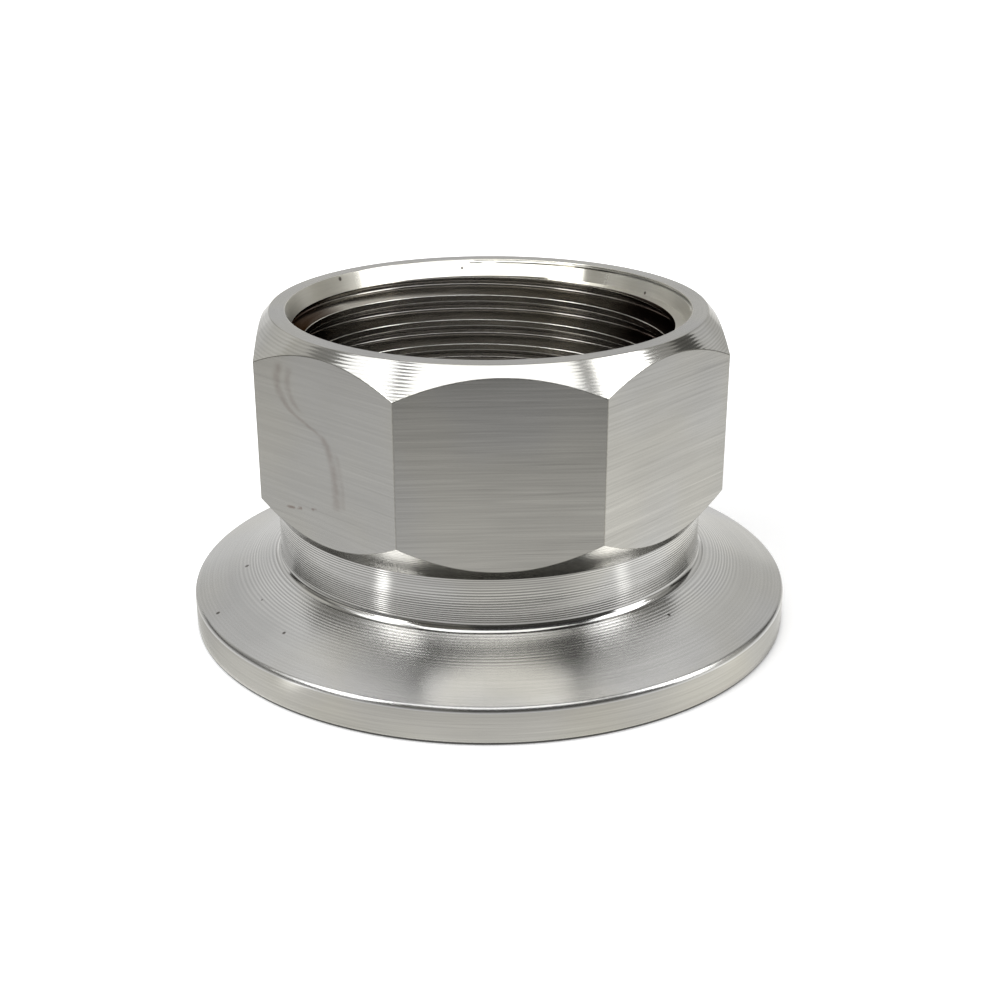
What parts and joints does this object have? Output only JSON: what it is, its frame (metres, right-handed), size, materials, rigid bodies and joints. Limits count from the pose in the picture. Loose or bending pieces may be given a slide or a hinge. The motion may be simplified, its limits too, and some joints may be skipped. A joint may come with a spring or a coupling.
{
  "type": "sanitary clamp to threaded adapter",
  "caption": "Stainless adapter with a sloped-back sanitary clamp flange, short neck and octagonal socket with an internal pipe thread.",
  "frame": {"origin": "centre of the clamp face", "axes": "+Z along the axis from the clamp face to the threaded mouth; one flat of the octagonal body faces -Y"},
  "size_m": [0.0506, 0.0506, 0.0265],
  "materials": {
    "stainless": "turned and brushed stainless steel"
  },
  "bodies": {
    "root": {"adapter_body": "stainless"}
  },
  "joints": []
}
